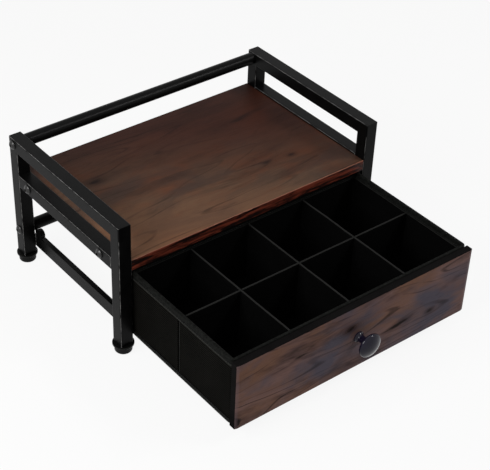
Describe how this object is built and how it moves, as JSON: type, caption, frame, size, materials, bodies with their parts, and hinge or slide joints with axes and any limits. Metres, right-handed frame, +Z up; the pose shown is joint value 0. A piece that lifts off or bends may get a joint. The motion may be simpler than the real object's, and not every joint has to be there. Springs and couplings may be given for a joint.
{
  "type": "tabletop tea bag rack with drawer",
  "caption": "Low steel-tube tabletop rack with a wooden shelf between raised side rails and a pull-out compartmented fabric drawer with a wooden front and a round knob.",
  "frame": {"origin": "centre of the footprint of the rack with its drawer pulled out, on the table under the feet", "axes": "+X to the right seen from the drawer's front, +Y from the drawer's front to the rear, +Z up"},
  "size_m": [0.4094, 0.4746, 0.191],
  "materials": {
    "powder_coated_steel": "fine matte black powder coat",
    "rustic_wood": "dark rustic brown wood-grain laminate, satin",
    "edge_strip": "reddish brown edge strip, satin",
    "foot_rubber": "black rubber",
    "black_screw": "black oxide, semi-gloss",
    "zinc_hardware": "zinc plated",
    "gloss_black_knob": "glossy black",
    "black_woven_fabric": "ribbed black woven fabric over stiff board",
    "fabric_binding": "folded black fabric tape",
    "lining_board": "fabric-covered base board"
  },
  "bodies": {
    "frame": {"leg_front_left": "powder_coated_steel", "leg_rear_left": "powder_coated_steel", "leg_front_right": "powder_coated_steel", "leg_rear_right": "powder_coated_steel", "top_rail_left": "powder_coated_steel", "top_rail_right": "powder_coated_steel", "mid_rail_left": "powder_coated_steel", "mid_rail_right": "powder_coated_steel", "rear_guard_rail": "powder_coated_steel", "rear_lower_rail": "powder_coated_steel", "drawer_runner_left": "powder_coated_steel", "drawer_runner_right": "powder_coated_steel", "foot_front_left": "foot_rubber", "foot_rear_left": "foot_rubber", "foot_front_right": "foot_rubber", "foot_rear_right": "foot_rubber", "top_board": "rustic_wood", "board_front_edging": "edge_strip", "board_screws": "black_screw", "board_inserts": "zinc_hardware", "rear_rail_screws": "black_screw", "rear_rail_inserts": "zinc_hardware", "stop_bumper_left": "foot_rubber", "stop_bumper_right": "foot_rubber"},
    "drawer": {"drawer_front_panel": "rustic_wood", "drawer_knob": "gloss_black_knob", "knob_screw": "zinc_hardware", "knob_washer": "zinc_hardware", "panel_screws": "zinc_hardware", "drawer_front_wall": "black_woven_fabric", "drawer_back_wall": "black_woven_fabric", "drawer_side_left": "black_woven_fabric", "drawer_side_right": "black_woven_fabric", "drawer_base_board": "lining_board", "drawer_rim_binding": "fabric_binding", "drawer_base_binding": "fabric_binding", "divider_long": "black_woven_fabric", "divider_cross_left": "black_woven_fabric", "divider_cross_center": "black_woven_fabric", "divider_cross_right": "black_woven_fabric"}
  },
  "joints": [
    {"name": "drawer_slide", "type": "slide", "parent": "frame", "child": "drawer", "axis": [0, 1, 0], "range_m": [0, 0.1994]}
  ]
}
